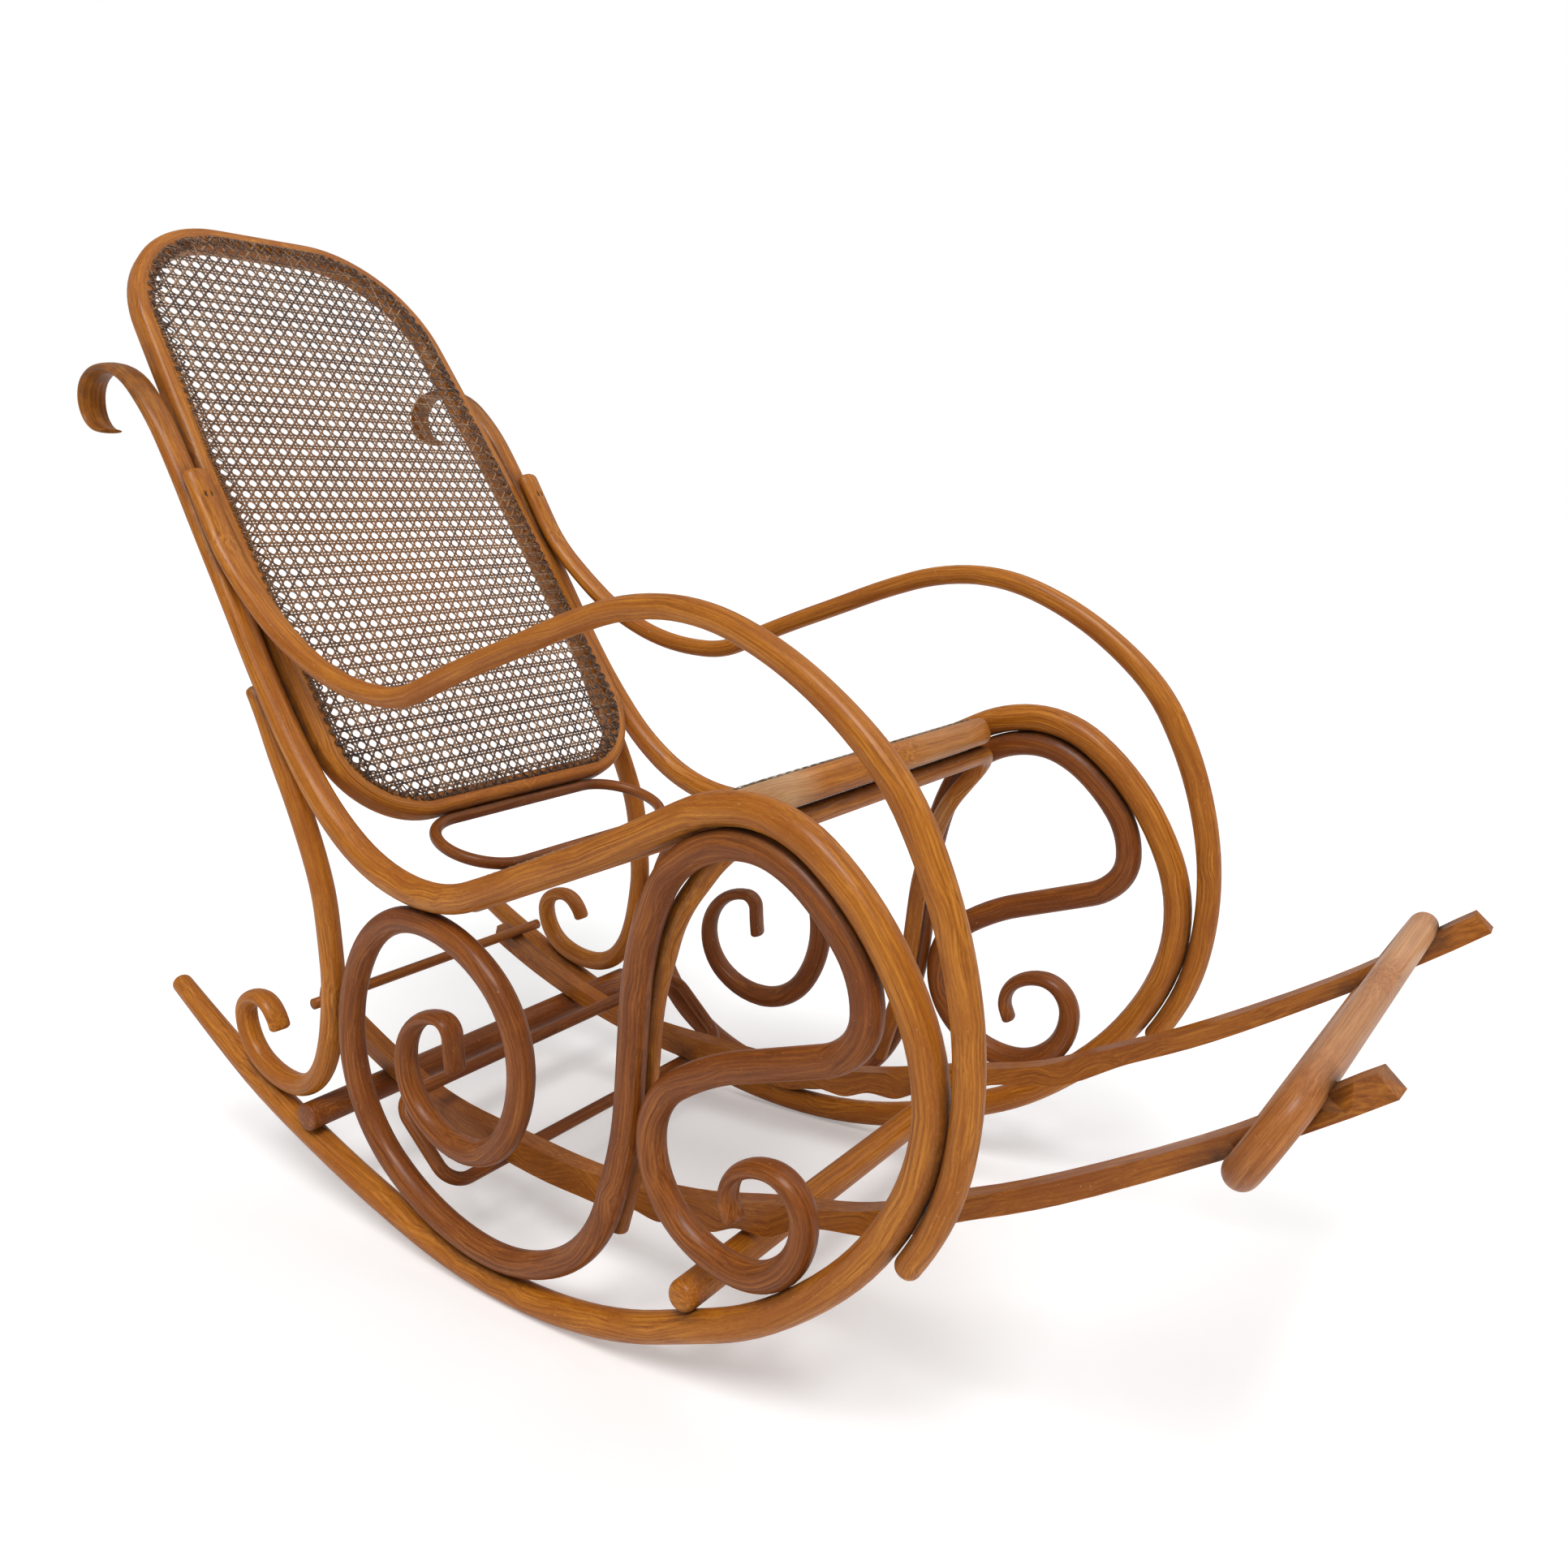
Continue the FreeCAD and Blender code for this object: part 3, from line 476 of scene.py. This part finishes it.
def wooden(name, number):
    """A node's shape in wood that knows its grain, its dirt and painted shade, and its worn places."""
    bm = skin(name)
    points = np.array([v.co for v in bm.verts])
    grain = grain_at(name, number, bm, points)
    mesh = bpy.data.meshes.new(name + "_wood")
    bm.to_mesh(mesh)
    bm.free()
    give_attribute(mesh, "grain", "FLOAT_VECTOR", grain)
    # Darkening near other pieces (dirt and painted shade), joined with the places where the stain has turned
    # dark.
    dirt_and_shade = np.maximum(dirt_and_shade_at(name, points), spots(name, points, DARKENED))
    give_attribute(mesh, "dirt_and_shade", "FLOAT", dirt_and_shade)
    give_attribute(mesh, "wear", "FLOAT", spots(name, points, RUBBED))
    for polygon in mesh.polygons:
        polygon.use_smooth = True
    mesh.set_sharp_from_angle(angle=math.radians(SHARP_ANGLE))
    mesh.materials.clear()
    dress(name, name + "_wood", mesh, WOODS[SLOT_OF[name]])


wooden_names = sorted(name for name in NODES if SLOT_OF[name] in WOODS)
for number, name in enumerate(wooden_names):
    wooden(name, number)

# Screws

steel = screw_material()
for name, node in NODES.items():
    if SLOT_OF[name] == "screw_steel":
        node.data.materials.clear()
        node.data.materials.append(steel)

# Woven cane

HOLES_ACROSS = 0.01373      # from one hole of the pattern to the next
HOLES_ALONG = 0.01343
SPLIT = 0.00165             # from the middle of a pair of strands to either strand
STRAND_WIDTH = 0.0021
STRAND_THICK = 0.00046
WEAVE = 0.00026             # rise and fall of the strands over each other
DIAGONAL_RISE = 0.00050
EDGE_INSET = 0.0012
END_GAP = 0.001             # the weave of a strand stops this far from its ends
SHORTEST = 0.006            # shorter strands are left out
FAR = 10.0                  # farther than any strand reaches
PANEL_REACH = 0.45          # the pattern is laid this far to each side of a panel's middle
STITCH_PITCH = 0.0125
STITCH_OUTER = 0.0016       # from the panel's outline to a stitch's two ends
STITCH_INNER = 0.0150
STITCH_WIDTH = 0.0018
STITCH_STEP = 0.0003        # the second stitch of a cross lies this much higher


def hull(points):
    """Convex outline of flat points, in order."""
    ordered = sorted(set(map(tuple, np.round(points, 6))))

    def half(sequence):
        line = []
        for p in sequence:
            while len(line) > 1 and ((line[-1][0] - line[-2][0]) * (p[1] - line[-2][1])
                                     - (line[-1][1] - line[-2][1]) * (p[0] - line[-2][0])) <= 0:
                line.pop()
            line.append(p)
        return line[:-1]

    return np.array(half(ordered) + half(ordered[::-1]))


class Panel:
    """A flat woven panel: strands and stitches are added as lens-shaped ribbons, then made into one piece."""

    def __init__(self, node, right, up, front, seed):
        self.node = node
        self.axes = np.array([right, up, front], float)
        flat = np.array([v.co for v in NODES[node].data.vertices]) @ self.axes.T
        self.level = (flat[:, 2].min() + flat[:, 2].max()) / 2.0
        self.outline = hull(flat[:, :2])
        self.middle = (self.outline.min(axis=0) + self.outline.max(axis=0)) / 2.0
        self.random = np.random.default_rng(seed)
        self.points, self.faces, self.tones = [], [], []

    def clip(self, start, way):
        """The stretch of a line inside the outline, as two distances along it."""
        low, high = -FAR, FAR
        for a, b in zip(self.outline, np.roll(self.outline, -1, axis=0)):
            edge = b - a
            inward = np.array([-edge[1], edge[0]]) / max(np.hypot(*edge), 1e-12)
            depth = (start - a) @ inward - EDGE_INSET
            rate = way @ inward
            if abs(rate) < 1e-12:
                if depth < 0:
                    return None
            elif rate > 0:
                low = max(low, -depth / rate)
            else:
                high = min(high, -depth / rate)
        return (low, high) if high - low > SHORTEST else None

    def ribbon(self, flat, heights, width, tone):
        """A closed ribbon through flat points at given heights over the panel's middle level."""
        flat = np.asarray(flat)
        way = np.gradient(flat, axis=0)
        way /= np.hypot(way[:, 0], way[:, 1])[:, None]
        sideways = np.stack([-way[:, 1], way[:, 0]], axis=1) * width / 2.0
        first = len(self.points)
        for spot, aside, height in zip(flat, sideways, heights):
            self.points.append((*(spot + aside), height))
            self.points.append((*spot, height + STRAND_THICK / 2.0))
            self.points.append((*(spot - aside), height))
            self.points.append((*spot, height - STRAND_THICK / 2.0))
        self.tones += [tone] * (4 * len(flat))
        for k in range(len(flat) - 1):
            a = first + 4 * k
            for j in range(4):
                i = (j + 1) % 4
                self.faces.append((a + j, a + 4 + j, a + 4 + i, a + i))
        last = first + 4 * (len(flat) - 1)
        self.faces.append((first, first + 1, first + 2, first + 3))
        self.faces.append((last + 3, last + 2, last + 1, last))

    def strand(self, start, way, marks):
        """A strand along a line; marks gives (distance, height) pairs that repeat the weave."""
        limits = self.clip(start, way)
        if limits is None:
            return
        low, high = limits
        rows = [(d, h) for d, h in marks(low, high) if low + END_GAP < d < high - END_GAP]
        rows = [(low, 0.0)] + rows + [(high, 0.0)]
        flat = [start + way * d for d, _ in rows]
        self.ribbon(flat, [h for _, h in rows], STRAND_WIDTH, self.random.uniform(0.0, 1.0))

    def make(self, material):
        """Turn what has been added into the visible piece."""
        points = np.array(self.points)
        points[:, 2] += self.level
        name = self.node + "_weave"
        mesh = bpy.data.meshes.new(name)
        mesh.from_pydata((points @ self.axes).tolist(), [], self.faces)
        mesh.validate()
        give_attribute(mesh, "tone", "FLOAT", self.tones)
        mesh.polygons.foreach_set("use_smooth", [True] * len(mesh.polygons))
        dress(self.node, name, mesh, material)


def weave(panel):
    """The seven-step pattern: two strands each way between the holes, and one diagonal each way."""
    cx, cy = panel.middle
    reach = int(PANEL_REACH / min(HOLES_ACROSS, HOLES_ALONG))
    up, right = np.array([0.0, 1.0]), np.array([1.0, 0.0])

    for i in range(-reach, reach):
        for sign in (-1, 1):
            x = cx + (i + 0.5) * HOLES_ACROSS + sign * SPLIT

            def marks(low, high):
                k = math.ceil((low - cy) / (HOLES_ALONG / 2.0))
                while cy + k * HOLES_ALONG / 2.0 < high:
                    yield cy + k * HOLES_ALONG / 2.0, sign * WEAVE if k % 2 else 0.0
                    k += 1

            panel.strand(np.array([x, 0.0]), up, marks)
    for j in range(-reach, reach):
        for sign in (-1, 1):
            y = cy + (j + 0.5) * HOLES_ALONG + sign * SPLIT

            def marks(low, high):
                k = math.floor((low - cx) / HOLES_ACROSS)
                while cx + k * HOLES_ACROSS < high:
                    yield cx + k * HOLES_ACROSS, 0.0
                    yield cx + (k + 0.5) * HOLES_ACROSS - SPLIT, WEAVE
                    yield cx + (k + 0.5) * HOLES_ACROSS + SPLIT, -WEAVE
                    k += 1

            panel.strand(np.array([0.0, y]), right, marks)
    step = math.hypot(HOLES_ACROSS, HOLES_ALONG) / 2.0
    for k in range(-2 * reach, 2 * reach):
        for sign in (-1, 1):
            way = np.array([HOLES_ACROSS, sign * HOLES_ALONG]) / (2.0 * step)
            start = np.array([cx + (k + 0.5) * HOLES_ACROSS, cy])
            rise = DIAGONAL_RISE * sign

            def marks(low, high):
                n = math.ceil(low / step)
                while n * step < high:
                    yield n * step, -rise if n % 2 else rise
                    n += 1

            panel.strand(start, way, marks)


def stitch(panel):
    """Crossing stitches all round the edge, from the drilled holes near the outline to the weave."""
    line = np.concatenate([panel.outline, panel.outline[:1]])
    lengths = np.concatenate([[0.0], np.cumsum(np.hypot(*np.diff(line, axis=0).T))])
    count = int(lengths[-1] / STITCH_PITCH)
    at = np.arange(count) * lengths[-1] / count
    holes = np.stack([np.interp(at, lengths, line[:, k]) for k in range(2)], axis=1)
    way = np.roll(holes, -1, axis=0) - np.roll(holes, 1, axis=0)
    inward = np.stack([-way[:, 1], way[:, 0]], axis=1) / np.hypot(way[:, 0], way[:, 1])[:, None]
    rim = holes + inward * STITCH_OUTER
    deep = holes + inward * STITCH_INNER
    rise = DIAGONAL_RISE + STRAND_THICK
    for k in range(count):
        after = (k + 1) % count
        for a, b, height in ((rim[k], deep[after], rise), (rim[after], deep[k], rise + STITCH_STEP)):
            flat = [a, a + (b - a) * 0.5, b]
            heights = [rise * 0.5, height, height * 0.7]
            panel.ribbon(flat, heights, STITCH_WIDTH, panel.random.uniform(0.0, 0.6))


RIGHT = (1.0, 0.0, 0.0)
BACK_UP = (0.0, 0.5398, 0.8418)
BACK_FRONT = (0.0, -0.8418, 0.5398)
LEFT = (-1.0, 0.0, 0.0)
SEAT_FORWARD = (0.0, -0.92455, 0.38107)
SEAT_UP = (0.0, 0.38107, 0.92455)

# Cane colours: dark, middle and light strands, the rubbed colour, and the centre of the rubbed place
back_material = cane_material("aged_cane", (0.050, 0.022, 0.012), (0.150, 0.070, 0.034),
                              (0.430, 0.245, 0.130), (0.340, 0.140, 0.042), (-0.02, 0.44, 0.70))
seat_material = cane_material("aged_seat_cane", (0.150, 0.105, 0.066), (0.360, 0.265, 0.175),
                              (0.600, 0.490, 0.360), (0.400, 0.270, 0.150), (0.0, -0.05, 0.46))
back = Panel("back_cane", RIGHT, BACK_UP, BACK_FRONT, 11)
seat = Panel("seat_cane", LEFT, SEAT_FORWARD, SEAT_UP, 23)
for panel, material in ((back, back_material), (seat, seat_material)):
    weave(panel)
    stitch(panel)
    panel.make(material)

# Floor

FLOOR_RADIUS = 40.0
FLOOR_SIDES = 96

angles = [math.tau * k / FLOOR_SIDES for k in range(FLOOR_SIDES)]
floor_mesh = bpy.data.meshes.new("floor")
floor_mesh.from_pydata([(FLOOR_RADIUS * math.cos(a), FLOOR_RADIUS * math.sin(a), 0.0) for a in angles], [],
                       [tuple(range(FLOOR_SIDES))])
floor_mesh.materials.append(floor_material())
floor = show("floor", floor_mesh)
